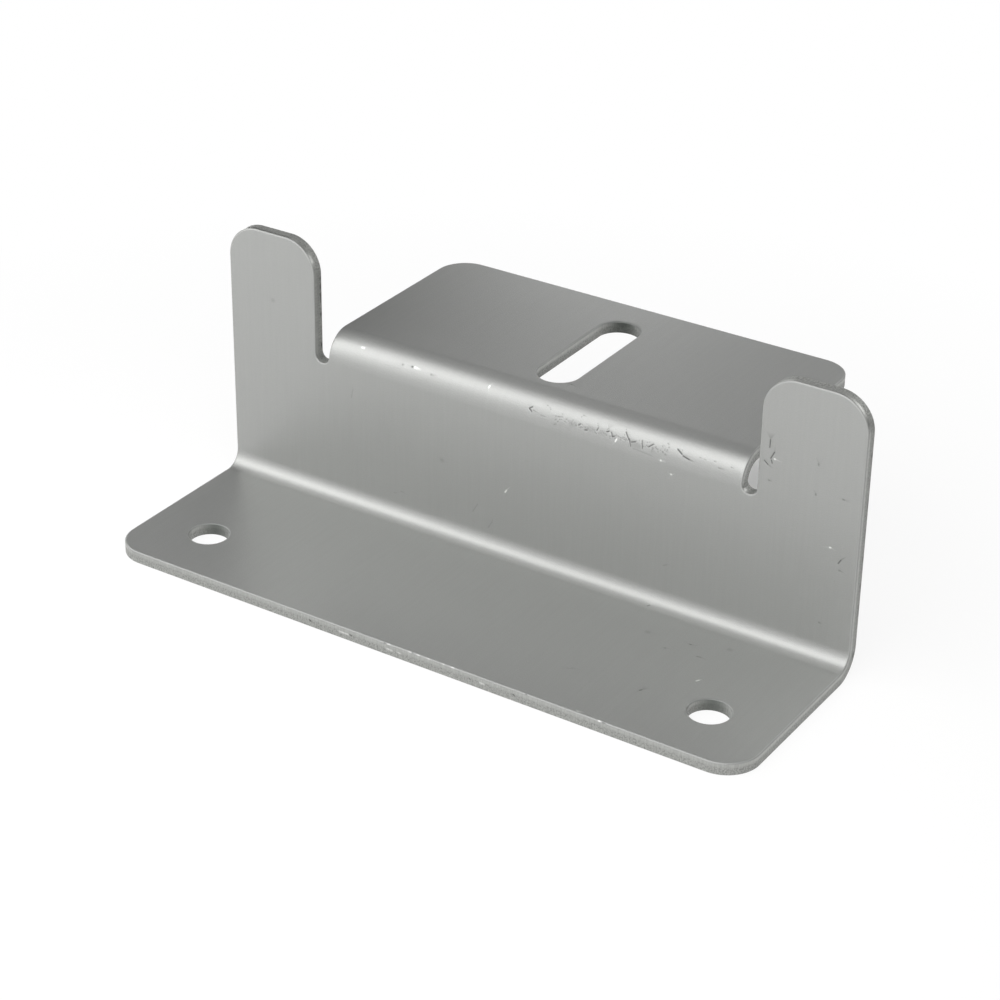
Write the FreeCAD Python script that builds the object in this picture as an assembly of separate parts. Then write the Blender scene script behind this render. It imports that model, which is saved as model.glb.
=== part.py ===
import FreeCAD, Part
import math
import os

from FreeCAD import Vector

# A fixing bracket punched and folded from one flat blank of aluminium sheet.
# Seen from its end it is a Z: a foot, an upright web and a flange folded the other way.
# The web's two ends stand up past the flange as rounded ears.
# The origin is on the foot's underside, midway between its two holes.
# +X runs along the bracket, +Y from the foot towards the flange and +Z up, all in mm.

# Driving dimensions
sheet = 2.0                 # thickness of the sheet
inside_bend_radius = 2.8    # of both folds
length = 116.0              # of the foot and the web, along X

foot_reach = 33.6           # front edge of the foot to the web's front face
foot_corner_radius = 5.7
hole_diameter = 6.6         # clears a 6 mm bolt or screw
hole_to_front = 11.3        # hole centre to the foot's front edge
hole_to_end = 11.4          # hole centre to the foot's end

flange_height = 31.3        # underside of the foot to the flange's top face
flange_reach = 37.7         # web's front face to the flange's far edge
flange_corner_radius = 5.3
slot_width = 7.2
slot_to_bend = 1.3          # end of the fold's curve to the slot
slot_to_edge = 6.1          # slot to the flange's far edge

ear_width = 17.2
ear_rise = 15.2             # flange's top face to the ear's top
ear_corner_radius = 5.7
relief_width = 2.6          # gap between an ear and the flange
relief_past_bend = 0.6      # how far the gap runs down past the fold's curve

rolled_edge = 0.35          # radius that the punch leaves round the show face
least_flat = 0.2            # flat left between two rounded corners

# Sizes that follow from them
outside_bend_radius = inside_bend_radius + sheet
half_length = length / 2
foot_front = -hole_to_front
web_front = foot_front + foot_reach
web_back = web_front + sheet
web_middle = web_front + sheet / 2
flange_back = web_front + flange_reach
flange_start = web_front + outside_bend_radius
bend_start = flange_height - outside_bend_radius
ear_top = flange_height + ear_rise
ear_inner = half_length - ear_width
half_flange = ear_inner - relief_width
relief_middle = ear_inner - relief_width / 2
relief_floor = bend_start - relief_past_bend
hole_x = half_length - hole_to_end
slot_near = flange_start + slot_to_bend
slot_far = flange_back - slot_to_edge
margin = sheet              # how far a cutting tool runs past what it cuts
touch = 1e-6                # two places closer than this are one
sides = (-1, 1)


def section_point(y, z):
    """A point of the bracket's end view."""
    return Vector(0, y, z)


def front_point(x, z):
    """A point of the bracket's front view, one margin in front of the web."""
    return Vector(x, web_front - margin, z)


def plan_point(x, y):
    """A point of the bracket's plan, one margin below the foot."""
    return Vector(x, y, -margin)


def rounded_outline(corners):
    """A flat face inside right-angled corners, each a point and the radius that rounds it.

    An arc starts one radius before its corner and ends one radius after it. Its middle is
    on the line to the arc's centre, a radius times (1 - sqrt 1/2) along both sides.
    """
    arcs = []
    for i, (corner, radius) in enumerate(corners):
        before = (corners[i - 1][0] - corner).normalize()
        after = (corners[(i + 1) % len(corners)][0] - corner).normalize()
        middle = corner + (before + after) * radius * (1 - math.sqrt(0.5))
        arcs.append((corner + before * radius, middle, corner + after * radius))
    edges = []
    for i, (start, middle, end) in enumerate(arcs):
        following = arcs[(i + 1) % len(arcs)][0]
        if start.distanceToPoint(end) > touch:
            edges.append(Part.Arc(start, middle, end).toShape())
        if end.distanceToPoint(following) > touch:
            edges.append(Part.LineSegment(end, following).toShape())
    return Part.Face(Part.Wire(edges))


def folded_strip(section, half_width):
    """The solid that an end view leaves along X, from minus to plus half its width."""
    strip = section.extrude(Vector(2 * half_width, 0, 0))
    strip.translate(Vector(-half_width, 0, 0))
    return strip


def foot_and_web():
    """The L of foot, lower fold and web, as high as the ears, open above the upper fold."""
    section = rounded_outline([
        (section_point(foot_front, 0), 0),
        (section_point(web_back, 0), outside_bend_radius),
        (section_point(web_back, ear_top), 0),
        (section_point(web_front, ear_top), 0),
        (section_point(web_front, sheet), inside_bend_radius),
        (section_point(foot_front, sheet), 0),
    ])
    window = Part.makeBox(2 * relief_middle, sheet + 2 * margin, ear_top - bend_start + margin)
    window.translate(front_point(-relief_middle, bend_start))
    return folded_strip(section, half_length).cut(window)


def flange():
    """The upper fold and the flange, as wide as the span between the reliefs' middles."""
    section = rounded_outline([
        (section_point(web_front, bend_start), 0),
        (section_point(web_front, flange_height), outside_bend_radius),
        (section_point(flange_back, flange_height), 0),
        (section_point(flange_back, flange_height - sheet), 0),
        (section_point(web_back, flange_height - sheet), inside_bend_radius),
        (section_point(web_back, bend_start), 0),
    ])
    return folded_strip(section, relief_middle)


def relief(side):
    """The gap between an ear and the flange, with a full-round floor, open to the back."""
    radius = relief_width / 2
    opening = rounded_outline([
        (front_point(side * half_flange, relief_floor), radius),
        (front_point(side * ear_inner, relief_floor), radius),
        (front_point(side * ear_inner, ear_top + margin), 0),
        (front_point(side * half_flange, ear_top + margin), 0),
    ])
    return opening.extrude(Vector(0, flange_reach + 2 * margin, 0))


def slot():
    """The long hole with round ends that runs from front to back through the flange."""
    radius = slot_width / 2
    opening = rounded_outline([
        (plan_point(-radius, slot_near), radius),
        (plan_point(radius, slot_near), radius),
        (plan_point(radius, slot_far), radius),
        (plan_point(-radius, slot_far), radius),
    ])
    return opening.extrude(Vector(0, 0, flange_height + 2 * margin))


def foot_hole(side):
    """One of the two round holes in the foot."""
    return Part.makeCylinder(hole_diameter / 2, sheet + 2 * margin, plan_point(side * hole_x, 0))


def edges_at(shape, places):
    """The edges that pass through any of the places."""
    points = [Part.Vertex(place) for place in places]
    return [edge for edge in shape.Edges if any(edge.distToShape(point)[0] < touch for point in points)]


def round_corners(shape):
    """Rounds the foot's and the flange's free corners and the two corners of each ear."""
    foot_corners = [Vector(side * half_length, foot_front, sheet / 2) for side in sides]
    flange_corners = [Vector(side * half_flange, flange_back, flange_height - sheet / 2) for side in sides]
    ear_corners = [Vector(side * x, web_middle, ear_top) for side in sides for x in (half_length, ear_inner)]
    ear_radius = min(ear_corner_radius, (ear_width - least_flat) / 2)
    shape = shape.makeFillet(foot_corner_radius, edges_at(shape, foot_corners))
    shape = shape.makeFillet(flange_corner_radius, edges_at(shape, flange_corners))
    return shape.makeFillet(ear_radius, edges_at(shape, ear_corners))


def roll_edges(shape):
    """Rounds the rim of the show face, which is the foot's top, the web's front and the flange's top.

    The blank's outline is smooth all round, so from the middle of the foot's front edge the
    rounding runs on over the folds, the ears and the reliefs. Each hole has a rim of its own.
    """
    rims = [Vector(0, foot_front, sheet)]
    rims += [Vector(side * hole_x, hole_diameter / 2, sheet) for side in sides]
    rims += [Vector(slot_width / 2, (slot_near + slot_far) / 2, flange_height)]
    return shape.makeFillet(rolled_edge, edges_at(shape, rims))


def bracket():
    """The whole bracket as one folded solid."""
    folded = foot_and_web().fuse(flange()).removeSplitter()
    tools = [tool(side) for tool in (relief, foot_hole) for side in sides]
    punched = folded.cut(tools + [slot()]).removeSplitter()
    return roll_edges(round_corners(punched)).Solids[0]


os.makedirs("parts", exist_ok=True)
bracket().exportStep("parts/z_bracket.step")
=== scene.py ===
"""A folded aluminium Z bracket on a pale studio floor, laid out as a Blender add-on."""

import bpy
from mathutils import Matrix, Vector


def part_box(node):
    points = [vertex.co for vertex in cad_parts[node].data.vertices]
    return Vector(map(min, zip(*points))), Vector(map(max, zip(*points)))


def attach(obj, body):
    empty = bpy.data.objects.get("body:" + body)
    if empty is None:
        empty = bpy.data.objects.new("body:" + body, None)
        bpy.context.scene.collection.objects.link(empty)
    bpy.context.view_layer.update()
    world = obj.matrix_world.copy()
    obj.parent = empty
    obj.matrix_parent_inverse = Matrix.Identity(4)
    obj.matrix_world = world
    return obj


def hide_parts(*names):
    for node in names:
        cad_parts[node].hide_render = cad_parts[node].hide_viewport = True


bl_info = {
    "name": "Folded Z bracket",
    "version": (1, 0, 0),
    "blender": (4, 5, 0),
    "location": "3D View > Sidebar > Z bracket",
    "description": "A punched and folded sheet bracket with its finish, wear and studio",
    "category": "Object",
}

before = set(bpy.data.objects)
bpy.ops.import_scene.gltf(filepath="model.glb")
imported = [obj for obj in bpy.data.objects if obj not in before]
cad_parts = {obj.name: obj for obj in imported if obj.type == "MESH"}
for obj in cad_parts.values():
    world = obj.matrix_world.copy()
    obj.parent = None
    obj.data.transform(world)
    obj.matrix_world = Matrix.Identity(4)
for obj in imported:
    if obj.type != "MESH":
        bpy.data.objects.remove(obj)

import math

import bpy
import numpy as np
from bpy.props import FloatProperty, FloatVectorProperty, PointerProperty
from mathutils import Matrix, Vector
from mathutils.geometry import delaunay_2d_cdt

MM = 0.001    # one millimetre in metres, the script's unit
NODE = "z_bracket"
LOW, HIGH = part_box(NODE)
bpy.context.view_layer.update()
QUARTER = math.pi / 2

# Kinds of wear: half the groove's width and its depth in mm, then how dirty it is and how brightly it is
# painted as bare metal with a glint, from 0 to 1
KINDS = {
    "crack": (0.10, 0.07, 0.85, 0.0),
    "pit": (0.07, 0.03, 0.5, 0.0),
    "speck": (0.13, 0.04, 0.5, 0.0),
    "smudge": (0.36, 0.012, 0.2, 0.0),
    "scratch": (0.09, 0.025, 0.2, 0.0),
    "glint": (0.11, 0.04, 0.0, 1.0),
    "spark": (0.08, 0.02, 0.0, 0.55),
    "scrape": (0.12, 0.02, 0.0, 0.5),
}

# Wear on the show face: x and s on the blank and length in mm, and turn from the x direction in degrees
WEAR = {
    "crack": (
        (-22.3, 61.1, 0.2, 0), (0.5, 60.5, 0.6, 30), (0.5, 60.2, 0.6, -30), (9.5, 60.2, 0.3, 40),
        (10.8, 59.8, 0.4, 10), (12.7, 60.3, 0.3, 70), (14.5, 60.4, 0.4, 20), (15.3, 60.2, 0.6, -50),
        (15.6, 60.0, 0.4, 20), (17.9, 60.6, 1.1, -45), (18.6, 59.9, 0.9, -60), (19.2, 60.1, 0.7, 15),
        (20.7, 60.1, 0.9, -70), (22.2, 60.3, 0.8, 35), (27.1, 60.6, 1.0, -25), (28.4, 60.1, 1.2, -10),
        (42.45, 67.3, 1.3, 88), (43.0, 65.5, 1.3, 65), (42.9, 64.4, 0.5, -70), (42.0, 64.0, 0.8, -40),
        (55.1, 51.3, 0.8, 60), (35.2, 25.9, 0.3, 0), (35.4, 10.6, 0.4, 60)),
    "speck": (
        (-24.1, 61.0, 0.1, 0), (-18.5, 60.8, 0.1, 0), (4.0, 66.6, 0.2, 0), (50.5, 66.2, 0.2, 90),
        (50.4, 61.2, 0.2, 90), (54.9, 61.7, 0.2, 0), (55.2, 49.8, 0.1, 0), (52.6, 39.9, 0.1, 0),
        (42.7, 61.2, 0.1, 0), (32.5, 22.8, 0.2, 20), (38.0, 23.5, 0.6, 10), (24.3, 32.3, 0.4, 60)),
    "smudge": (
        (8.4, 60.0, 0.8, 10), (11.6, 60.1, 0.9, 0), (13.8, 60.1, 0.8, 0), (19.5, 59.8, 1.6, 0),
        (-49.3, 66.6, 0.1, 0), (-15.8, 47.0, 0.1, 0), (28.0, 25.3, 0.3, 0), (40.9, 27.9, 0.3, 0)),
    "scratch": (
        (2.9, 59.9, 0.8, 0), (5.9, 60.4, 0.8, 10), (20.9, 59.2, 3.2, -4), (-33.5, 54.0, 1.6, 80),
        (-25.1, 38.1, 0.2, 0), (-23.7, 38.7, 0.2, 0), (-9.3, 40.2, 1.8, 60), (-6.4, 38.0, 1.4, 60),
        (25.9, 41.1, 0.7, 30), (23.4, 9.7, 0.6, 20)),
    # Glints: scraped bare metal, painted bright as a highlight
    "glint": (
        (-32.3, 61.6, 0.5, 0), (-21.6, 61.1, 0.5, 0), (-7.8, 61.5, 0.2, 80), (16.2, 59.7, 0.3, 70),
        (24.3, 58.9, 0.1, 0), (26.2, 57.2, 0.1, 0), (-3.5, 45.1, 0.5, 60), (43.4, 65.0, 0.1, 0),
        (41.1, 17.6, 0.5, 60), (53.4, 53.2, 0.2, 0), (30.7, 0.5, 0.4, 0)),
}

# Wear on the front edge's wall and rim, laid along x, in mm: x, s and n on the blank, length
FRONT_WEAR = {
    "scrape": (
        (-11.3, 0.0, 0.05, 1.8), (-2.7, 0.0, 0.05, 1.0), (-0.9, 0.0, 0.05, 0.4), (14.2, 0.0, 0.05, 0.7)),
    # Sparks and the glint below: scraped bare metal on the rim, painted bright as glints
    "spark": (
        (-2.9, 0.08, 0.9, 0.6), (1.1, 0.08, 0.9, 0.3), (2.6, 0.08, 0.9, 0.3), (4.4, 0.08, 0.9, 0.2),
        (7.2, 0.08, 0.9, 0.2), (8.8, 0.08, 0.9, 0.5)),
    "glint": ((34.6, 0.1, 0.95, 0.3),),
    "crack": (
        (-3.5, 0.08, 0.9, 0.2), (1.6, 0.1, 0.95, 0.1), (35.3, 0.1, 0.9, 0.6), (21.9, 0.1, 0.95, 0.1),
        (-17.7, 0.0, 0.05, 0.3), (-10.0, 0.0, 0.05, 0.1), (11.9, 0.0, 0.05, 0.1), (19.9, 0.0, 0.05, 0.1)),
}

# Nicks in the cut walls of the right end and of the left ear's inner side, in mm: s and n, length along s
END_NICKS = (
    (69.2, -0.67, 0.4), (61.2, -0.8, 0.9), (56.6, -0.61, 0.3), (52.0, -0.61, 1.0), (47.4, -0.64, 0.4),
    (43.2, -0.6, 1.4), (35.5, -0.44, 0.5))
EAR_NICKS = (
    (72.0, -0.7, 0.5), (70.7, -0.7, 0.7), (69.0, -0.7, 0.8), (68.0, -0.7, 0.3), (65.7, -0.7, 0.5),
    (60.2, -0.7, 0.3))

# Bands of fine pits where the fold was drawn over the die: from x, to x, middle s and spread in s, all in
# mm, and how many pits
PITTED = ((5.0, 25.0, 60.1, 0.2, 110), (0.0, 38.0, 60.6, 0.5, 35))
PIT_LENGTH = 0.04    # in mm

# The way, on the blank, that the part of a hole's wall faces where the painted shade is darkest: the holes'
# far walls and rims are painted darker, standing in for the shadowed floor they mirror
HOLE_SHADE_SIDE = np.array([0.34, -0.94])

# Where the cut wall turns from its burnished band into its torn zone, as n on the blank in mm
BURNISHED_TO = 0.45
TORN_FROM = 0.1

# How much of the sheet's broad sheen and of the cut wall is metal; the rest scatters like plain grey paint
METAL = 0.74

# The painted shade's share of the colour where it is darkest, on the drawn rim and on the cut wall
HOLE_SHADE_ON_RIM = 0.7
HOLE_SHADE_ON_WALL = 0.85

# Sizes of the finish's grains in mm: across and along the sheet, or along the cut wall and through it
FINE_GRAIN = (0.2, 0.2)
STREAK = (0.6, 14.0)
TORN_MARK = (0.22, 2.0)
TORN_PIT = (0.25, 0.3)
TORN_DEPTH = 0.03

# The middle half of a noise's range, where nearly all of it lies
MIDDLE = {"From Min": 0.25, "From Max": 0.75}

# The places of a colour mix node's two colours among its inputs, and of its colour among its outputs
COLOUR_A, COLOUR_B, COLOUR_OUT = 6, 7, 2

# Steps of the mesh, in mm
EDGE_STEP = 0.3      # along a cut edge, about
FACE_STEP = 1.6      # between the even rows and columns of points on a face, about
GROOVE_STEP = 0.13   # along a groove
FROM_EDGE = 0.35     # from a rim to the nearest point inside it, at least
SAME_PLACE = 0.06    # points in one square of this size become one

FOLD_STEPS = 20      # rows of points over each fold
TENT_STEP = 6        # degrees between the tent's points

# Lamps behind the light tent's cloth: azimuth from the front towards the right, elevation, how far each
# spreads along both, in degrees, and how brightly the cloth glows in its middle
LAMPS = {
    "front": (22, 29, 23, 32, 2.5),
    "front_high": (2, 57, 58, 23, 2.9),
    "front_low": (-30, 8, 30, 12, 0.7),
    "left": (297, 32, 24, 26, 3.15),
    "left_low": (236, 0, 12, 6, 9.0),
    "back_left": (206, 20, 12, 6, 3.1),
    "back_high": (214, 56, 33, 15, 0.55),
    "back_right": (140, 32, 35, 9, 3.55),
    "right": (80, 12, 28, 18, 0.5),
}

# The floor round the bracket, in mm: the flange's shadow lies in an ellipse with these half sizes, whose
# middle is this far before the flange's far edge. It fades between these multiples of the ellipse, and
# the pale shadow round it between these distances from the origin.
SHADOW_REACH = (30, 32)
SHADOW_BEFORE_EDGE = 10
SHADOW_FADE = (0.9, 1.4)
PALE_FADE = (80, 170)


def from_hex(code):
    """The linear colour of an sRGB hex code.

    Each channel c becomes c / 12.92 up to 0.04045, and ((c + 0.055) / 1.055) ** 2.4 above it.
    """
    channels = [int(code[i:i + 2], 16) / 255 for i in (1, 3, 5)]
    return tuple(c / 12.92 if c <= 0.04045 else ((c + 0.055) / 1.055) ** 2.4 for c in channels)


def size(name, description, millimetres):
    """A length that a user can change, given in millimetres and kept in metres."""
    return FloatProperty(
        name=name, description=description, default=millimetres * MM, unit="LENGTH", precision=5)


def fraction(name, description, default, most=1.0):
    """A number from 0 up to the most, which a user can change."""
    return FloatProperty(name=name, description=description, default=default, min=0, max=most)


def paint(name, description, code):
    """A colour that a user can change, given as an sRGB hex code."""
    return FloatVectorProperty(
        name=name, description=description, default=from_hex(code), subtype="COLOR", min=0, max=1)


class BracketSizes(bpy.types.PropertyGroup):
    """Sizes of the folded sheet. Its length, depth and height come from the frame."""

    sheet: size("Sheet", "Thickness of the sheet", 2.0)
    inside_bend: size("Inside bend", "Inside radius of both folds", 2.8)
    foot_reach: size("Foot reach", "Front edge of the foot to the web's front face", 33.6)
    foot_corner: size("Foot corner", "Radius of the foot's front corners", 5.7)
    hole_diameter: size("Foot hole", "Diameter of the two foot holes", 6.6)
    hole_to_front: size("Hole to front", "Hole centre to the foot's front edge", 11.3)
    hole_to_end: size("Hole to end", "Hole centre to the foot's end", 11.4)
    flange_height: size("Flange height", "Underside of the foot to the flange's top face", 31.3)
    flange_corner: size("Flange corner", "Radius of the flange's far corners", 5.3)
    slot_width: size("Slot width", "Width of the flange's slot", 7.2)
    slot_to_bend: size("Slot to bend", "End of the upper fold's curve to the slot", 1.3)
    slot_to_edge: size("Slot to edge", "Slot to the flange's far edge", 6.1)
    ear_width: size("Ear width", "Width of each ear", 17.2)
    ear_corner: size("Ear corner", "Radius of the ears' corners", 5.7)
    relief_width: size("Relief width", "Gap between an ear and the flange", 2.6)
    relief_past_bend: size("Relief past bend", "How far the gap runs past the fold's curve", 0.6)
    roll_width: size("Roll width", "Width of the rim that the punch drew down", 0.3)
    roll_depth: size("Roll depth", "Depth of the rim that the punch drew down", 0.2)
    burr_edge: size("Burr edge", "Round left on the far edge after tumbling", 0.05)


class BracketFinish(bpy.types.PropertyGroup):
    """Colours and gloss of the sheet and of its cut edge."""

    sheet_colour: paint("Sheet colour", "Etched and clear-anodised aluminium", "#A6A7A5")
    etched: fraction("Etched roughness", "Spread of light from the etched pits", 0.5)
    rolled: fraction("Rolled roughness", "Spread of light from the smooth tops that the rolls left", 0.2)
    rolled_share: fraction("Rolled share", "How much of the face is such tops", 0.24)
    grain_height: size("Grain height", "Height of the sheet's fine grain", 0.035)
    # Painted shade on the drawn rim, as a factor on its colour
    rim_shade: fraction("Rim shade", "How bright the drawn rim is beside the sheet", 0.9, 2)
    burnished: fraction("Burnished roughness", "Spread of light from the cut wall's smooth band", 0.35)
    torn: fraction("Torn roughness", "Spread of light from the cut wall's torn zone", 0.6)
    edge_colour: paint("Edge colour", "Aluminium sheared by the punch", "#A5A6A3")
    torn_colour: paint("Torn colour", "The shadowed pits of the torn zone", "#8A8B88")
    # Painted shade inside the holes, darkest on their far walls and rims
    hole_shade_colour: paint("Film colour", "Dull film inside the holes", "#5C605C")
    dirt_colour: paint("Dirt colour", "Dirt in cracks and dents", "#2B2B2A")
    # Scraped bare aluminium, painted near white as a glint
    bare_and_glint_colour: paint("Bare colour", "Aluminium scraped bright", "#F2F2F0")
    wear: fraction("Wear", "How deep and how dark the marks of use are", 1.0)


class StudioSettings(bpy.types.PropertyGroup):
    """The camera's place and the studio's light."""

    camera_place: FloatVectorProperty(
        name="Camera", description="Where the camera stands", default=(0.19992, -0.29707, 0.22084),
        subtype="TRANSLATION")
    azimuth: FloatProperty(
        name="Azimuth", description="Camera's turn about the upright", default=math.radians(34.305),
        subtype="ANGLE")
    elevation: FloatProperty(
        name="Elevation", description="How far the camera looks down", default=math.radians(28.946),
        subtype="ANGLE")
    lens: FloatProperty(name="Lens", description="Focal length on a 36 mm sensor, in mm", default=97.476)
    shift: FloatProperty(
        name="Shift", description="The lens's sideways shift, as the bracket stands right of its axis",
        default=0.06925)
    floor_colour: paint("Floor colour", "White seamless paper", "#F4F4F3")
    floor_white: fraction("Floor white", "How much of the floor near the bracket shows as plain white", 0.88)
    tent_radius: size("Tent radius", "Radius of the light tent", 200)
    lining: fraction("Lining", "How brightly the tent glows away from its lamps", 0.03)


class Blank:
    """The flat blank: where its folds lie along its developed length, and the map that folds it.

    A place on the blank is (x, s, n): x along the bracket, s along the sheet's middle from the foot's
    front edge, and n out of the middle towards the show face, which is the foot's top.
    """

    def __init__(self, sizes):
        self.sizes = sizes
        self.half_sheet = sizes.sheet / 2
        self.bend = sizes.inside_bend + self.half_sheet
        self.half_length = HIGH.x
        self.web_front = LOW.y + sizes.foot_reach
        outside = sizes.inside_bend + sizes.sheet
        web_flat = sizes.flange_height - 2 * outside
        self.fold_1 = sizes.foot_reach - sizes.inside_bend
        self.fold_1_end = self.fold_1 + self.bend * QUARTER
        self.fold_2 = self.fold_1_end + web_flat
        self.fold_2_end = self.fold_2 + self.bend * QUARTER
        self.far_end = self.fold_2_end + HIGH.y - self.web_front - outside
        self.ear_end = self.fold_1_end + HIGH.z - outside
        self.ear_inner = self.half_length - sizes.ear_width
        self.half_flange = self.ear_inner - sizes.relief_width
        self.relief_middle = self.ear_inner - sizes.relief_width / 2
        self.relief_floor = self.fold_2 - sizes.relief_past_bend

    def fold(self, x, s, n):
        """Places in space of places on the blank.

        The middle runs straight, turns through a quarter circle into the web, runs up, and between the
        reliefs turns back through another. n is laid off along (0, -sin a, cos a), a being the turn so far.
        """
        in_flange = np.abs(x) < self.relief_middle
        turn_1 = np.clip((s - self.fold_1) / self.bend, 0, QUARTER)
        turn_2 = np.where(in_flange, np.clip((s - self.fold_2) / self.bend, 0, QUARTER), 0)
        web_top = np.where(in_flange, self.fold_2, self.ear_end)
        up_web = np.clip(s, self.fold_1_end, web_top) - self.fold_1_end
        along_flange = np.where(in_flange, np.maximum(s - self.fold_2_end, 0), 0)
        out = np.sin(turn_1) + 1 - np.cos(turn_2)
        up = 1 - np.cos(turn_1) + np.sin(turn_2)
        y = LOW.y + np.minimum(s, self.fold_1) + self.bend * out + along_flange
        z = self.half_sheet + self.bend * up + up_web
        turn = turn_1 - turn_2
        return np.stack([x, y - n * np.sin(turn), z + n * np.cos(turn)], axis=-1)

    def outline(self):
        """Corners of the blank's outline, anticlockwise from the foot, each with its radius."""
        sizes = self.sizes
        round_floor = sizes.relief_width / 2
        right = [
            (self.half_length, 0, sizes.foot_corner),
            (self.half_length, self.ear_end, sizes.ear_corner),
            (self.ear_inner, self.ear_end, sizes.ear_corner),
            (self.ear_inner, self.relief_floor, round_floor),
            (self.half_flange, self.relief_floor, round_floor),
            (self.half_flange, self.far_end, sizes.flange_corner),
        ]
        return right + [(-x, y, radius) for x, y, radius in reversed(right)]

    def openings(self):
        """Each hole's middle in x, its near and far ends in s, and the radius of its round ends."""
        sizes = self.sizes
        hole = sizes.hole_diameter / 2
        middle = self.half_length - sizes.hole_to_end
        near, far = sizes.hole_to_front - hole, sizes.hole_to_front + hole
        holes = [(x, near, far, hole) for x in (-middle, middle)]
        near, far = self.fold_2_end + sizes.slot_to_bend, self.far_end - sizes.slot_to_edge
        return holes + [(0, near, far, sizes.slot_width / 2)]

    def loops(self):
        """Corners of every closed edge of the blank: the outline, then each hole clockwise."""
        holes = []
        for middle, near, far, radius in self.openings():
            left, right = middle - radius, middle + radius
            corners = ((left, near), (left, far), (right, far), (right, near))
            holes.append([(*corner, radius) for corner in corners])
        return [self.outline()] + holes


def rounded_path(corners, step):
    """Points about a step apart on a closed path through right-angled corners, and the path's normals.

    Each corner's arc starts a radius before it, ends a radius after it and has at least six steps.
    The normal is the direction of travel turned a quarter to the right, out of the sheet.
    """
    at = np.array([corner[:2] for corner in corners])
    radius = np.array([corner[2] for corner in corners])[:, None]
    way_in = at - np.roll(at, 1, axis=0)
    way_in /= np.linalg.norm(way_in, axis=1)[:, None]
    way_out = np.roll(way_in, -1, axis=0)
    start, end = at - way_in * radius, at + way_out * radius
    points, normals = [], []
    for i in range(len(at)):
        turns = max(6, int(radius[i, 0] * QUARTER / step))
        angle = (np.arange(turns) / turns * QUARTER)[:, None]
        centre = at[i] - way_in[i] * radius[i] + way_out[i] * radius[i]
        points.append(centre + radius[i] * (np.sin(angle) * way_in[i] - np.cos(angle) * way_out[i]))
        travel = np.cos(angle) * way_in[i] + np.sin(angle) * way_out[i]
        normals.append(np.stack([travel[:, 1], -travel[:, 0]], axis=1))
        following = start[(i + 1) % len(at)]
        run = np.linalg.norm(following - end[i])
        if run > step / 4:
            count = max(1, int(run / step))
            share = (np.arange(count) / count)[:, None]
            points.append(end[i] + share * (following - end[i]))
            normals.append(np.repeat([[way_out[i, 1], -way_out[i, 0]]], count, axis=0))
    return np.concatenate(points), np.concatenate(normals)


def rim_profile(sizes):
    """The cut edge's profile from the show face to the back: how far in from the outline, n, and its lean.

    A quarter of an ellipse rolls over from the show face, a straight wall follows, and a small
    quarter circle ends it at the back. The lean is the normal's angle from the show face's normal.
    """
    half = sizes.sheet / 2
    margin = 0.12 * MM
    roll = np.linspace(0, QUARTER, 8)
    wall = np.linspace(half - sizes.roll_depth, sizes.burr_edge - half, 8)[1:-1]
    burr = np.linspace(0, QUARTER, 4)
    inset = np.concatenate([
        [sizes.roll_width + margin], sizes.roll_width * (1 - np.sin(roll)), np.zeros(len(wall)),
        sizes.burr_edge * (1 - np.cos(burr)), [sizes.burr_edge + margin]])
    n = np.concatenate([
        [half], half - sizes.roll_depth * (1 - np.cos(roll)), wall,
        sizes.burr_edge * (1 - np.sin(burr)) - half, [-half]])
    lean = np.concatenate([[0], roll, np.full(len(wall), QUARTER), QUARTER + burr, [2 * QUARTER]])
    return inset, n, lean


def edge_band(corners, profile, first):
    """One closed edge of the sheet: its path, carrying the whole profile from the show face to the back.

    Its points are numbered from first. A corner's place on the pattern is its run along the edge and its n.
    """
    inset, n, lean = profile
    path, outward = rounded_path(corners, EDGE_STEP * MM)
    count, rows = len(path), len(inset)
    index = first + np.arange(count * rows).reshape(count, rows)
    after = np.roll(index, -1, axis=0)
    steps = np.linalg.norm(np.roll(path, -1, axis=0) - path, axis=1)
    end = np.cumsum(steps)
    start = np.append(0, end[:-1])
    run = np.stack([start, start, end, end], axis=1)
    through = np.stack([n[:-1], n[1:], n[1:], n[:-1]], axis=1)
    return {
        "points": swept(path[:, None] - outward[:, None] * inset[:, None], n),
        "normals": swept(outward[:, None] * np.sin(lean)[:, None], np.cos(lean)),
        "outward": np.repeat(outward, rows, axis=0),
        "rolled": np.tile(np.sin(lean), count),
        "quads": np.stack([index[:, :-1], index[:, 1:], after[:, 1:], after[:, :-1]], axis=-1).reshape(-1, 4),
        "pattern": np.stack(np.broadcast_arrays(run[:, None], through), axis=-1).reshape(-1, 4, 2),
        "show_rim": index[:, 0],
        "back_rim": index[:, -1],
    }


def swept(flat, third):
    """A row of (x, s) pairs at each point of a path, joined with the row's third values."""
    third = np.broadcast_to(third[:, None], (*flat.shape[:2], 1))
    return np.concatenate([flat, third], axis=2).reshape(-1, 3)


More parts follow.
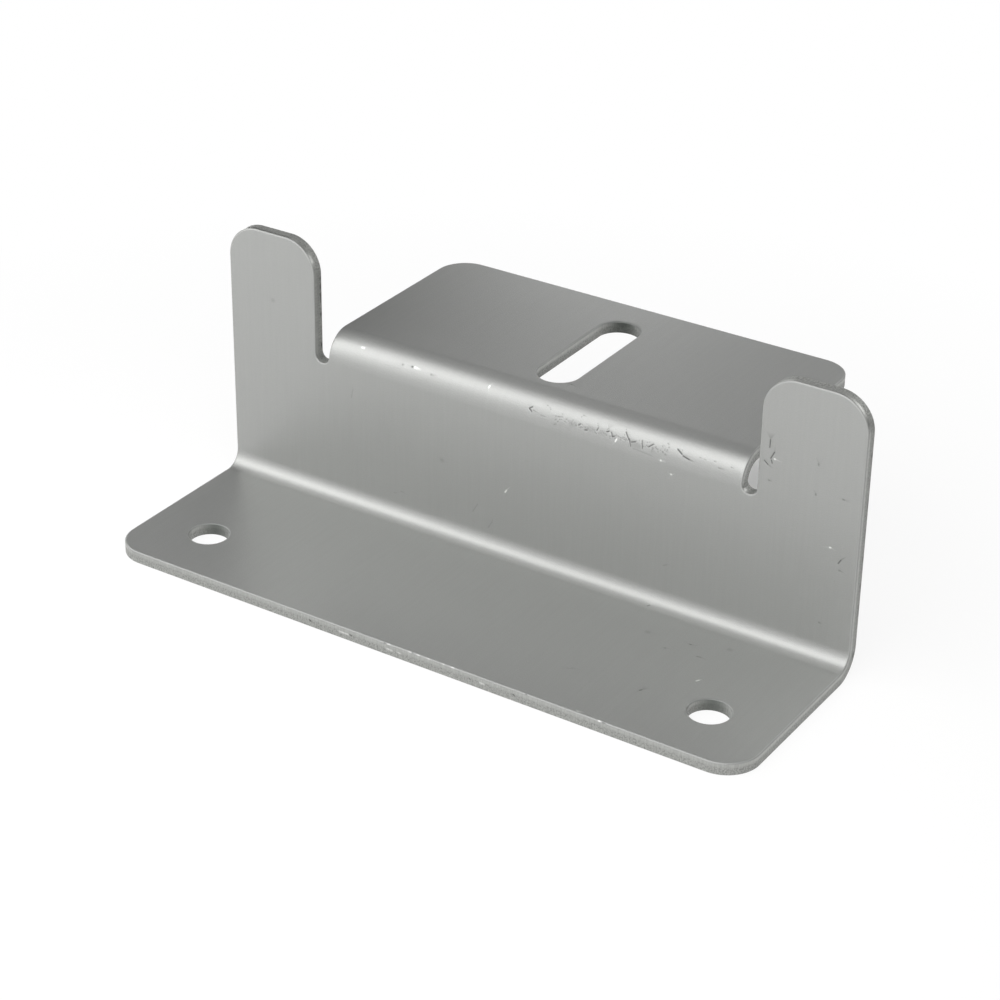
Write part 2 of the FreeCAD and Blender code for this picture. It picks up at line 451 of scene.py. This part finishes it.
def bracket_mesh(blank, grooves):
    """The whole sheet as one closed mesh on the blank: its edges' bands, and two faces trimmed to them.

    Returns the points and their normals, how much painted shade of the holes each carries and how far each
    has rolled over the edge, the bands' four-sided faces and which of them are cut wall, the faces'
    triangles, and each corner's place on the pattern: (x, s) on the faces and (run along the edge, n) on the
    cut walls.
    """
    sizes = blank.sizes
    profile = rim_profile(sizes)
    bands, first = [], 0
    for corners in blank.loops():
        bands.append(edge_band(corners, profile, first))
        first += len(bands[-1]["points"])
    points, normals, outward, rolled, quads, pattern = (
        np.concatenate([band[name] for band in bands])
        for name in ("points", "normals", "outward", "rolled", "quads", "pattern"))
    in_opening = np.arange(len(points)) >= len(bands[0]["points"])
    # Painted shade on the holes' walls and rims, darkest on the far walls, which face the front
    hole_shade = np.clip(outward @ HOLE_SHADE_SIDE, 0, 1) ** 3 * in_opening
    n = points[quads, 2]
    on_cut = (n.mean(axis=1) < blank.half_sheet - sizes.roll_depth) & (n.max(axis=1) > -blank.half_sheet)
    pattern[~on_cut] = points[quads[~on_cut], :2]
    triangles = []
    for rim, side in (("show_rim", 1), ("back_rim", -1)):
        rims = [band[rim] for band in bands]
        inner = face_grid(blank, points[np.concatenate(rims), :2], grooves if side > 0 else [])
        faces = trimmed_face(points, rims, inner, len(points))
        triangles.append(faces if side > 0 else faces[:, ::-1])
        none = np.zeros(len(inner))
        points = np.concatenate([points, np.column_stack([inner, none + side * blank.half_sheet])])
        normals = np.concatenate([normals, np.column_stack([none, none, none + side])])
        hole_shade, rolled = np.concatenate([hole_shade, none]), np.concatenate([rolled, none])
    triangles = np.concatenate(triangles)
    used, names = np.unique(np.concatenate([quads.ravel(), triangles.ravel()]), return_inverse=True)
    corners = np.concatenate([pattern.reshape(-1, 2), points[triangles.ravel(), :2]])
    quads, triangles = names[:quads.size].reshape(-1, 4), names[quads.size:].reshape(-1, 3)
    return points[used], normals[used], hole_shade[used], rolled[used], quads, on_cut, triangles, corners


def grooves_of(blank):
    """Every mark of wear as its kind and the two ends of its middle line on the blank."""
    grooves = []
    for kind, marks in WEAR.items():
        for x, s, length, turn in marks:
            middle = np.array([x * MM, s * MM, blank.half_sheet])
            angle = math.radians(turn)
            reach = np.array([math.cos(angle), math.sin(angle), 0]) * length / 2 * MM
            grooves.append((kind, middle - reach, middle + reach))
    chance = np.random.default_rng(7)
    for from_x, to_x, middle_s, spread, count in PITTED:
        x, s = chance.uniform(from_x, to_x, count), chance.normal(middle_s, spread, count)
        for place in np.column_stack([x * MM, s * MM, np.full(count, blank.half_sheet)]):
            grooves.append(("pit", place, place + (PIT_LENGTH * MM, 0, 0)))
    for kind, marks in FRONT_WEAR.items():
        for x, s, n, length in marks:
            middle = np.array([x, s, n]) * MM
            reach = np.array([length / 2 * MM, 0, 0])
            grooves.append((kind, middle - reach, middle + reach))
    for wall, nicks in ((blank.half_length, END_NICKS), (-blank.ear_inner, EAR_NICKS)):
        for s, n, length in nicks:
            middle = np.array([wall, s * MM, n * MM])
            reach = np.array([0, length / 2 * MM, 0])
            grooves.append(("crack", middle - reach, middle + reach))
    return grooves


def groove_points(grooves):
    """Close rows of points along and beside each groove, so that the mesh can follow its walls."""
    rows = []
    for kind, start, end in grooves:
        width = KINDS[kind][0] * MM
        way = (end - start)[:2]
        length = np.linalg.norm(way)
        way = way / length
        along = np.arange(-1.5 * width, length + 1.5 * width, GROOVE_STEP * MM)
        across = np.array([-2, -1.2, -0.6, 0, 0.6, 1.2, 2]) * width
        u, v = np.meshgrid(along, across)
        rows.append(start[:2] + u.reshape(-1, 1) * way + v.reshape(-1, 1) * np.array([-way[1], way[0]]))
    return np.concatenate(rows) if rows else np.empty((0, 2))


def wear(points, grooves, amount):
    """How deep, how dirty and how bright the sheet is at each point, the brightness being bare metal painted
    with a glint.

    Each groove falls off as exp(-(d / w) ** 2), where d is the distance from its line and w half its width.
    """
    depth, dirt, bare_and_glint = np.zeros(len(points)), np.zeros(len(points)), np.zeros(len(points))
    for kind, start, end in grooves:
        width, deep, dirty, bright = KINDS[kind]
        way = end - start
        share = np.clip((points - start) @ way / (way @ way), 0, 1)
        apart = np.linalg.norm(points - start - share[:, None] * way, axis=1)
        fall = np.exp(-(apart / (width * MM)) ** 2)
        depth = np.maximum(depth, deep * MM * fall * amount)
        dirt = np.maximum(dirt, dirty * fall * amount)
        bare_and_glint = np.maximum(bare_and_glint, bright * fall * amount)
    return depth, dirt, bare_and_glint


def face_grid(blank, rim, grooves):
    """Points inside the blank: even rows across it, closer over the folds and at grooves, none near a rim."""
    spread = FACE_STEP * MM
    over_fold = np.arange(-1, FOLD_STEPS + 2) / FOLD_STEPS
    rows = [np.arange(spread / 2, blank.fold_1 - spread / 2, spread)]
    rows.append(blank.fold_1 + over_fold * (blank.fold_1_end - blank.fold_1))
    rows.append(np.arange(blank.fold_1_end + spread, blank.fold_2 - spread / 2, spread))
    rows.append(blank.fold_2 + over_fold * (blank.fold_2_end - blank.fold_2))
    rows.append(np.arange(blank.fold_2_end + spread, blank.far_end, spread))
    columns = np.linspace(-blank.half_length, blank.half_length, int(2 * blank.half_length / spread))
    x, s = np.meshgrid(columns, np.concatenate(rows))
    even = np.stack([x.ravel(), s.ravel()], axis=1)
    close = groove_points([groove for groove in grooves if groove[1][2] >= blank.half_sheet])
    points = np.concatenate([close, even])
    first_there = np.unique(np.round(points / (SAME_PLACE * MM)), axis=0, return_index=True)[1]
    points = points[np.sort(first_there)]
    apart = np.concatenate([
        np.linalg.norm(part[:, None] - rim, axis=2).min(axis=1) for part in np.array_split(points, 8)])
    keep = apart > FROM_EDGE * MM
    for middle, near, far, radius in blank.openings():
        along = np.clip(points[:, 1], near + radius, far - radius)
        keep &= np.hypot(points[:, 0] - middle, points[:, 1] - along) > radius + spread / 2
    return points[keep]


def trimmed_face(points, rims, inner, first_inner):
    """Triangles between the rims' points and the inner points, anticlockwise seen from the show side.

    A triangle with all three corners on the edge of one hole lies in that hole, and is left out.
    """
    ring = np.concatenate(rims)
    flat = np.concatenate([points[ring, :2], inner]) / MM
    loop_of = np.repeat([*range(len(rims)), -1], [*map(len, rims), len(inner)])
    edges, start = [], 0
    for rim in rims:
        here = start + np.arange(len(rim))
        edges.append(np.stack([here, np.roll(here, -1)], axis=1))
        start += len(rim)
    edges = np.concatenate(edges).tolist()
    inside_only, tolerance = 1, 1e-7
    made = delaunay_2d_cdt([Vector(point) for point in flat.tolist()], edges, [], inside_only, tolerance)
    corner = np.array([origin[0] for origin in made[3]])
    faces = corner[np.array(made[2])]
    on = loop_of[faces]
    faces = faces[~((on[:, 0] > 0) & (on[:, 0] == on[:, 1]) & (on[:, 0] == on[:, 2]))]
    a, b, c = flat[faces[:, 0]], flat[faces[:, 1]], flat[faces[:, 2]]
    clockwise = np.cross(b - a, c - a) < 0
    faces[clockwise] = faces[clockwise][:, ::-1]
    names = np.concatenate([ring, first_inner + np.arange(len(inner))])
    return names[faces]


def mesh_object(name, vertices, quads, triangles=np.empty((0, 3), int)):
    """A new object at the origin from points, four-sided faces and three-sided faces."""
    mesh = bpy.data.meshes.new(name)
    mesh.vertices.add(len(vertices))
    mesh.vertices.foreach_set("co", vertices.astype(np.float32).ravel())
    corners = np.concatenate([quads.ravel(), triangles.ravel()])
    sides = np.concatenate([np.full(len(quads), 4), np.full(len(triangles), 3)])
    mesh.loops.add(len(corners))
    mesh.loops.foreach_set("vertex_index", corners.astype(np.int32))
    mesh.polygons.add(len(sides))
    mesh.polygons.foreach_set("loop_start", np.concatenate([[0], np.cumsum(sides)[:-1]]).astype(np.int32))
    mesh.update(calc_edges=True)
    mesh.validate()
    made = bpy.data.objects.new(name, mesh)
    bpy.context.scene.collection.objects.link(made)
    return made


def add_node(tree, kind, inputs=None, output=0, **settings):
    """Adds a node with its settings, values and links, and returns the wanted output, if it has any."""
    node = tree.nodes.new(kind)
    for name, value in settings.items():
        setattr(node, name, value)
    for socket, source in (inputs or {}).items():
        if isinstance(source, bpy.types.NodeSocket):
            tree.links.new(source, node.inputs[socket])
        else:
            node.inputs[socket].default_value = source
    return node.outputs[output] if node.outputs else None


def new_material(name):
    """An empty node material and its tree."""
    material = bpy.data.materials.new(name)
    material.use_nodes = True
    material.node_tree.nodes.clear()
    return material, material.node_tree


def grain(tree, sizes, detail=2.0):
    """Noise from 0 to 1 on the blank's pattern, with grains of the given sizes in mm."""
    place = add_node(tree, "ShaderNodeUVMap", uv_map="blank")
    scaled = add_node(tree, "ShaderNodeMapping", {
        "Vector": place, "Scale": (1 / (sizes[0] * MM), 1 / (sizes[1] * MM), 1)})
    return add_node(tree, "ShaderNodeTexNoise", {
        "Vector": scaled, "Scale": 1.0, "Detail": detail}, output="Fac")


def marked(tree, colour, finish):
    """The colour with the bright scrapes, painted as glints, and the dirt that the sheet's marks carry."""
    for name, mark in (("bare_and_glint", finish.bare_and_glint_colour), ("dirt", finish.dirt_colour)):
        share = add_node(tree, "ShaderNodeAttribute", output="Fac", attribute_name=name)
        colour = add_node(tree, "ShaderNodeMix", {
            0: share, COLOUR_A: colour, COLOUR_B: (*mark, 1)}, output=COLOUR_OUT, data_type="RGBA")
    return colour


def anodised_sheet(finish):
    """Etched and clear-anodised rolled aluminium.

    The eye sees a broad satin sheen from the etched pits with a narrower one from the tops that the
    rolls left, faint streaks along the rolling direction, and a fine grain that sparkles over the folds.
    The rim that the punch drew down is duller, and its colour is darkened a little as painted shade, more on
    the holes' far rims. Real etched grain is finer than 0.05 mm, too fine to show here, so it is drawn at 0.2
    mm and as much deeper.
    """
    material, tree = new_material("clear_anodised_aluminium")
    rim, hole_shade, dirt = (
        add_node(tree, "ShaderNodeAttribute", output="Fac", attribute_name=name)
        for name in ("rolled", "hole_shade", "dirt"))
    fine = grain(tree, FINE_GRAIN, detail=3.0)
    streaks = add_node(tree, "ShaderNodeMapRange", {
        "Value": grain(tree, STREAK), **MIDDLE, "To Min": 0.985, "To Max": 1.015})
    speckle = add_node(tree, "ShaderNodeMapRange", {"Value": fine, **MIDDLE, "To Min": 0.97, "To Max": 1.03})
    # Painted shade: the drawn rim's colour is scaled by the rim shade
    rim_shade = add_node(tree, "ShaderNodeMapRange", {
        "Value": rim, "To Min": 1.0, "To Max": finish.rim_shade})
    shade = add_node(tree, "ShaderNodeMath", {0: streaks, 1: speckle}, operation="MULTIPLY")
    shade = add_node(tree, "ShaderNodeMath", {0: shade, 1: rim_shade}, operation="MULTIPLY")
    clean = add_node(tree, "ShaderNodeVectorMath", {0: finish.sheet_colour, 1: shade}, operation="MULTIPLY")
    # Painted shade on the drawn rims of the holes, darkest on their far sides
    hole_shade_share = add_node(tree, "ShaderNodeMath", {0: hole_shade, 1: rim}, operation="MULTIPLY")
    hole_shade_share = add_node(tree, "ShaderNodeMath", {0: hole_shade_share, 1: HOLE_SHADE_ON_RIM}, operation="MULTIPLY")
    hole_shaded = add_node(tree, "ShaderNodeMix", {
        0: hole_shade_share, COLOUR_A: clean, COLOUR_B: (*finish.hole_shade_colour, 1)}, output=COLOUR_OUT, data_type="RGBA")
    colour = marked(tree, hole_shaded, finish)
    normal = add_node(tree, "ShaderNodeBump", {
        "Strength": 1.0, "Distance": finish.grain_height, "Height": fine})
    metal = add_node(tree, "ShaderNodeMapRange", {"Value": dirt, "To Min": METAL, "To Max": 0.0})
    roughness = add_node(tree, "ShaderNodeMapRange", {
        "Value": rim, "To Min": finish.etched, "To Max": finish.torn})
    etched = add_node(tree, "ShaderNodeBsdfPrincipled", {
        "Base Color": colour, "Metallic": metal, "Roughness": roughness, "Normal": normal})
    smooth = add_node(tree, "ShaderNodeBsdfPrincipled", {
        "Base Color": colour, "Metallic": 1.0, "Roughness": finish.rolled, "Normal": normal})
    share = add_node(tree, "ShaderNodeMapRange", {
        "Value": rim, "From Max": 0.5, "To Min": finish.rolled_share, "To Max": 0.0})
    surface = add_node(tree, "ShaderNodeMixShader", {0: share, 1: etched, 2: smooth})
    add_node(tree, "ShaderNodeOutputMaterial", {"Surface": surface})
    return material


def punched_edge(finish):
    """Aluminium sheared by a punch.

    The eye sees a smooth burnished band under the rolled rim, a rougher torn zone below it with
    short marks across the sheet's thickness, and painted shade inside the holes, darkest on their far walls.
    """
    material, tree = new_material("punched_aluminium_edge")
    place = add_node(tree, "ShaderNodeUVMap", uv_map="blank")
    n = add_node(tree, "ShaderNodeSeparateXYZ", {"Vector": place}, output="Y")
    torn = add_node(tree, "ShaderNodeMapRange", {
        "Value": n, "From Min": BURNISHED_TO * MM, "From Max": TORN_FROM * MM})
    marks = grain(tree, TORN_MARK, detail=3.0)
    pits = add_node(tree, "ShaderNodeMapRange", {
        "Value": grain(tree, TORN_PIT), "From Min": 0.42, "From Max": 0.66})
    pitted = add_node(tree, "ShaderNodeMath", {0: torn, 1: pits}, operation="MULTIPLY")
    sheared = add_node(tree, "ShaderNodeMix", {
        0: pitted, COLOUR_A: (*finish.edge_colour, 1), COLOUR_B: (*finish.torn_colour, 1)},
        output=COLOUR_OUT, data_type="RGBA")
    stripes = add_node(tree, "ShaderNodeMapRange", {"Value": marks, **MIDDLE, "To Min": 0.82, "To Max": 1.16})
    lined = add_node(tree, "ShaderNodeVectorMath", {0: sheared, 1: stripes}, operation="MULTIPLY")
    # Painted shade on the holes' cut walls, darkest on their far walls
    hole_shade = add_node(tree, "ShaderNodeAttribute", output="Fac", attribute_name="hole_shade")
    hole_shade_share = add_node(tree, "ShaderNodeMath", {0: hole_shade, 1: HOLE_SHADE_ON_WALL}, operation="MULTIPLY")
    hole_shaded = add_node(tree, "ShaderNodeMix", {
        0: hole_shade_share, COLOUR_A: lined, COLOUR_B: (*finish.hole_shade_colour, 1)}, output=COLOUR_OUT, data_type="RGBA")
    height = add_node(tree, "ShaderNodeMath", {0: marks, 1: pits}, operation="ADD")
    normal = add_node(tree, "ShaderNodeBump", {
        "Strength": torn, "Distance": TORN_DEPTH * MM, "Height": height})
    roughness = add_node(tree, "ShaderNodeMapRange", {
        "Value": torn, "To Min": finish.burnished, "To Max": finish.torn})
    surface = add_node(tree, "ShaderNodeBsdfPrincipled", {
        "Base Color": marked(tree, hole_shaded, finish), "Metallic": METAL, "Roughness": roughness,
        "Normal": normal})
    add_node(tree, "ShaderNodeOutputMaterial", {"Surface": surface})
    return material


class BRACKET_OT_sheet(bpy.types.Operator):
    """Make the folded sheet with its rolled rims, holes and finish"""

    bl_idname = "bracket.sheet"
    bl_label = "Folded sheet"

    def execute(self, context):
        blank = Blank(context.scene.bracket_sizes)
        finish = context.scene.bracket_finish
        grooves = grooves_of(blank)
        points, normals, hole_shade, rolled, quads, on_cut, triangles, pattern = bracket_mesh(blank, grooves)
        depth, dirt, bare_and_glint = wear(points, grooves, finish.wear)
        points = points - depth[:, None] * normals
        piece = mesh_object("folded_sheet", blank.fold(*points.T), quads, triangles)
        mesh = piece.data
        if len(mesh.polygons) != len(quads) + len(triangles):
            raise RuntimeError("the sheet's outline crosses itself: its corners need more room")
        mesh.materials.append(anodised_sheet(finish))
        mesh.materials.append(punched_edge(finish))
        mesh.polygons.foreach_set("use_smooth", np.ones(len(mesh.polygons), bool))
        material_index = np.concatenate([on_cut, np.zeros(len(triangles))]).astype(np.int32)
        mesh.polygons.foreach_set("material_index", material_index)
        mesh.uv_layers.new(name="blank").uv.foreach_set("vector", pattern.astype(np.float32).ravel())
        for name, values in (("dirt", dirt), ("bare_and_glint", bare_and_glint), ("hole_shade", hole_shade), ("rolled", rolled)):
            mesh.attributes.new(name, "FLOAT", "POINT").data.foreach_set("value", values.astype(np.float32))
        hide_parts(NODE)
        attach(piece, "root")
        return {"FINISHED"}


class BRACKET_OT_studio(bpy.types.Operator):
    """Make the floor, the light tent and the camera"""

    bl_idname = "bracket.studio"
    bl_label = "Studio"

    def execute(self, context):
        settings = context.scene.bracket_studio
        make_camera(settings)
        make_world()
        make_floor(settings)
        make_tent(settings)
        context.scene.view_settings.view_transform = "Standard"
        return {"FINISHED"}


def make_camera(settings):
    """A level camera: its right is (cos a, sin a, 0) and its back is (sin a cos e, -cos a cos e, sin e)."""
    a, e = settings.azimuth, settings.elevation
    right = Vector((math.cos(a), math.sin(a), 0))
    back = Vector((math.sin(a) * math.cos(e), -math.cos(a) * math.cos(e), math.sin(e)))
    data = bpy.data.cameras.new("camera")
    data.sensor_width = 36
    data.lens = settings.lens
    data.shift_x = settings.shift
    data.clip_start = 10 * MM
    camera = bpy.data.objects.new("camera", data)
    camera.matrix_world = Matrix.Translation(settings.camera_place) @ Matrix(
        (right, back.cross(right), back)).transposed().to_4x4()
    bpy.context.scene.collection.objects.link(camera)
    bpy.context.scene.camera = camera


def seen_directly(tree):
    """1 for what the camera sees straight, mirrored or through glass, and 0 for the light itself."""
    path = add_node(tree, "ShaderNodeLightPath").node.outputs
    seen = path["Is Camera Ray"]
    for kind in ("Is Glossy Ray", "Is Transmission Ray"):
        seen = add_node(tree, "ShaderNodeMath", {0: seen, 1: path[kind]}, operation="MAXIMUM")
    return seen


def make_world():
    """A surround that shows plain white and gives no light of its own, as the tent gives it all."""
    world = bpy.data.worlds.new("studio")
    bpy.context.scene.world = world
    world.use_nodes = True
    tree = world.node_tree
    tree.nodes.clear()
    white = add_node(tree, "ShaderNodeBackground", {"Color": (1, 1, 1, 1), "Strength": seen_directly(tree)})
    add_node(tree, "ShaderNodeOutputWorld", {"Surface": white})


def make_floor(settings):
    """A white floor just under the foot.

    Under and behind the flange it is plain lit paper, so it keeps the flange's shadow there, which the
    right relief shows. Round that it keeps a pale shadow, and further off it shows plain white.
    """
    half = 2.0
    corners = np.array([(-half, -half), (half, -half), (half, half), (-half, half)])
    under = -0.02 * MM
    floor = mesh_object("floor", np.column_stack([corners, np.full(4, under)]), np.arange(4).reshape(1, 4))
    material, tree = new_material("white_seamless_paper")
    place = add_node(tree, "ShaderNodeTexCoord", output="Object")
    away = add_node(tree, "ShaderNodeVectorMath", {0: place}, output="Value", operation="LENGTH")
    pale = add_node(tree, "ShaderNodeMapRange", {
        "Value": away, "From Min": PALE_FADE[0] * MM, "From Max": PALE_FADE[1] * MM,
        "To Min": settings.floor_white})
    behind = add_node(tree, "ShaderNodeMapping", {
        "Vector": place, "Location": (0, HIGH.y - SHADOW_BEFORE_EDGE * MM, 0),
        "Scale": (SHADOW_REACH[0] * MM, SHADOW_REACH[1] * MM, MM)}, vector_type="TEXTURE")
    near = add_node(tree, "ShaderNodeVectorMath", {0: behind}, output="Value", operation="LENGTH")
    clear = add_node(tree, "ShaderNodeMapRange", {
        "Value": near, "From Min": SHADOW_FADE[0], "From Max": SHADOW_FADE[1]})
    white = add_node(tree, "ShaderNodeMath", {0: pale, 1: clear}, operation="MULTIPLY")
    white = add_node(tree, "ShaderNodeMath", {0: seen_directly(tree), 1: white}, operation="MULTIPLY")
    paper = add_node(tree, "ShaderNodeBsdfDiffuse", {"Color": (*settings.floor_colour, 1)})
    glow = add_node(tree, "ShaderNodeEmission", {"Color": (1, 1, 1, 1), "Strength": 1.0})
    surface = add_node(tree, "ShaderNodeMixShader", {0: white, 1: paper, 2: glow})
    add_node(tree, "ShaderNodeOutputMaterial", {"Surface": surface})
    floor.data.materials.append(material)
    return floor


def make_tent(settings):
    """The light tent: a dome of cloth over the bracket, lit from outside by lamps and unseen by the camera.

    At azimuth a and elevation e its point is R (sin a cos e, -cos a cos e, sin e) from its middle. It glows
    there as its lining plus, for each lamp, strength * exp(-((a - a0) / wa) ** 2 - ((e - e0) / we) ** 2).
    """
    a, e = np.meshgrid(np.arange(0, 360, TENT_STEP), np.arange(0, 90, TENT_STEP))
    index = np.arange(a.size).reshape(a.shape)
    beside = np.roll(index, -1, axis=1)
    quads = np.stack([index[:-1], beside[:-1], beside[1:], index[1:]], axis=-1).reshape(-1, 4)
    cap = np.stack([index[-1], beside[-1], np.full(a.shape[1], a.size)], axis=-1)
    a, e = np.append(a, 0), np.append(e, 90)
    glow = np.full(a.shape, settings.lining)
    for from_front, above, along, up, strength in LAMPS.values():
        turn = (a - from_front + 180) % 360 - 180
        glow += strength * np.exp(-(turn / along) ** 2 - ((e - above) / up) ** 2)
    around, rise = np.radians(a), np.radians(e)
    way = np.stack([np.sin(around) * np.cos(rise), -np.cos(around) * np.cos(rise), np.sin(rise)], axis=-1)
    points = np.array([0, (LOW.y + HIGH.y) / 2, 0]) + settings.tent_radius * way
    tent = mesh_object("light_tent", points, quads, cap)
    tent.data.attributes.new("glow", "FLOAT", "POINT").data.foreach_set("value", glow.astype(np.float32))
    tent.visible_camera = False
    material, tree = new_material("lit_tent_cloth")
    lit = add_node(tree, "ShaderNodeAttribute", output="Fac", attribute_name="glow")
    light = add_node(tree, "ShaderNodeEmission", {"Color": (1, 1, 1, 1), "Strength": lit})
    add_node(tree, "ShaderNodeOutputMaterial", {"Surface": light})
    tent.data.materials.append(material)
    return tent


class BRACKET_PT_panel(bpy.types.Panel):
    """The bracket's sizes, finish and studio"""

    bl_idname = "BRACKET_PT_panel"
    bl_label = "Z bracket"
    bl_space_type = "VIEW_3D"
    bl_region_type = "UI"
    bl_category = "Z bracket"

    def draw(self, context):
        for group in ("bracket_sizes", "bracket_finish", "bracket_studio"):
            box = self.layout.box()
            settings = getattr(context.scene, group)
            for name in settings.__annotations__:
                box.prop(settings, name)
        for operator in (BRACKET_OT_sheet, BRACKET_OT_studio):
            self.layout.operator(operator.bl_idname)


GROUPS = {"bracket_sizes": BracketSizes, "bracket_finish": BracketFinish, "bracket_studio": StudioSettings}
CLASSES = (*GROUPS.values(), BRACKET_OT_sheet, BRACKET_OT_studio, BRACKET_PT_panel)


def register():
    """Tell Blender of the settings, the operators and the panel."""
    for cls in CLASSES:
        bpy.utils.register_class(cls)
    for name, group in GROUPS.items():
        setattr(bpy.types.Scene, name, PointerProperty(type=group))


def unregister():
    """Take them away again."""
    for name in GROUPS:
        delattr(bpy.types.Scene, name)
    for cls in reversed(CLASSES):
        bpy.utils.unregister_class(cls)


def main():
    """Register the add-on, then build the sheet and the studio."""
    register()
    bpy.ops.bracket.sheet()
    bpy.ops.bracket.studio()


if __name__ == "__main__":
    main()
